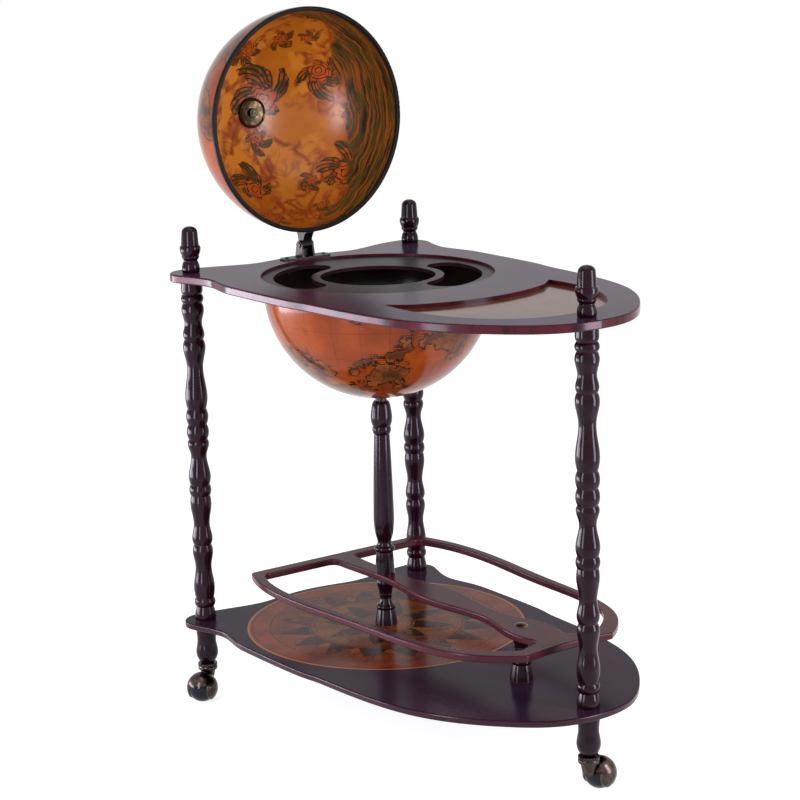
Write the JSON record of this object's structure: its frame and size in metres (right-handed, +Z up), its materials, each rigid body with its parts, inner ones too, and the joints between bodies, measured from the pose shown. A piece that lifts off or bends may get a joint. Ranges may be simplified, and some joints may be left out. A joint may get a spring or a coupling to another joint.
{
  "type": "floor globe bar",
  "caption": "Three-legged floor bar table with a half globe let into its top, a hinged globe lid, a bottle shelf with gallery rail and ball casters.",
  "frame": {"origin": "on the floor, under the middle of the bar's box with the lid open", "axes": "+X from the hinge end to the end leg, +Y across the bar, +Z up"},
  "size_m": [0.8324, 0.4794, 1.0195],
  "materials": {
    "board_wood": "deep mahogany stain under gloss lacquer",
    "turned_wood": "dark mahogany stain under gloss lacquer",
    "globe_print": "antique style map print under gloss lacquer",
    "map_print": "printed paper under gloss lacquer",
    "rim_band": "near black lacquer",
    "antique_brass": "antique bronzed brass",
    "dark_metal": "dark bronze paint",
    "steel": "plain zinc-plated steel",
    "ball_plastic": "glossy black"
  },
  "bodies": {
    "frame": {"bottle_insert": "board_wood", "bowl_bolt": "steel", "bowl_floor": "board_wood", "bracket_screws": "steel", "caster_plate_end": "dark_metal", "caster_plate_front": "dark_metal", "caster_plate_rear": "dark_metal", "centre_bolt": "steel", "compass_disc": "map_print", "finial_end": "turned_wood", "finial_front": "turned_wood", "finial_rear": "turned_wood", "foot_end": "turned_wood", "foot_front": "turned_wood", "foot_rear": "turned_wood", "gallery_board": "board_wood", "gallery_bolt": "antique_brass", "gallery_spindle_end": "turned_wood", "gallery_spindle_middle": "turned_wood", "globe_bowl": "globe_print", "hinge_bracket": "dark_metal", "hinge_pin": "steel", "leg_end": "turned_wood", "leg_front": "turned_wood", "leg_rear": "turned_wood", "lower_shelf": "board_wood", "lower_studs": "steel", "map_panel": "map_print", "post_collar": "dark_metal", "support_post": "turned_wood", "table_top": "board_wood", "upper_studs": "steel"},
    "lid": {"globe_lid": "globe_print", "lid_rim_band": "rim_band", "lid_pole_cup": "antique_brass", "lid_knob": "antique_brass", "lid_knob_nut": "antique_brass", "hinge_arm": "dark_metal", "arm_screws": "steel"},
    "caster_front": {"caster_hood_front": "antique_brass", "caster_stem_front": "steel", "caster_axle_front": "steel"},
    "ball_front": {"caster_ball_front": "ball_plastic"},
    "caster_rear": {"caster_hood_rear": "antique_brass", "caster_stem_rear": "steel", "caster_axle_rear": "steel"},
    "ball_rear": {"caster_ball_rear": "ball_plastic"},
    "caster_end": {"caster_hood_end": "antique_brass", "caster_stem_end": "steel", "caster_axle_end": "steel"},
    "ball_end": {"caster_ball_end": "ball_plastic"}
  },
  "joints": [
    {"name": "lid_hinge", "type": "hinge", "parent": "frame", "child": "lid", "pos_m": [-0.25735, 0, 0.6675], "axis": [0, 1, 0], "range_deg": [0, 90]},
    {"name": "caster_swivel_front", "type": "hinge", "parent": "frame", "child": "caster_front", "pos_m": [-0.26085, -0.197, 0.05], "axis": [0, 0, 1], "continuous": true},
    {"name": "ball_roll_front", "type": "hinge", "parent": "caster_front", "child": "ball_front", "pos_m": [-0.24674, -0.21642, 0.0215], "axis": [0.809, 0.5878, 0], "continuous": true},
    {"name": "caster_swivel_rear", "type": "hinge", "parent": "frame", "child": "caster_rear", "pos_m": [-0.26085, 0.197, 0.05], "axis": [0, 0, 1], "continuous": true},
    {"name": "ball_roll_rear", "type": "hinge", "parent": "caster_rear", "child": "ball_rear", "pos_m": [-0.27496, 0.21642, 0.0215], "axis": [-0.809, -0.5878, 0], "continuous": true},
    {"name": "caster_swivel_end", "type": "hinge", "parent": "frame", "child": "caster_end", "pos_m": [0.38775, 0, 0.05], "axis": [0, 0, 1], "continuous": true},
    {"name": "ball_roll_end", "type": "hinge", "parent": "caster_end", "child": "ball_end", "pos_m": [0.38276, 0.02348, 0.0215], "axis": [-0.9781, -0.2079, 0], "continuous": true}
  ]
}
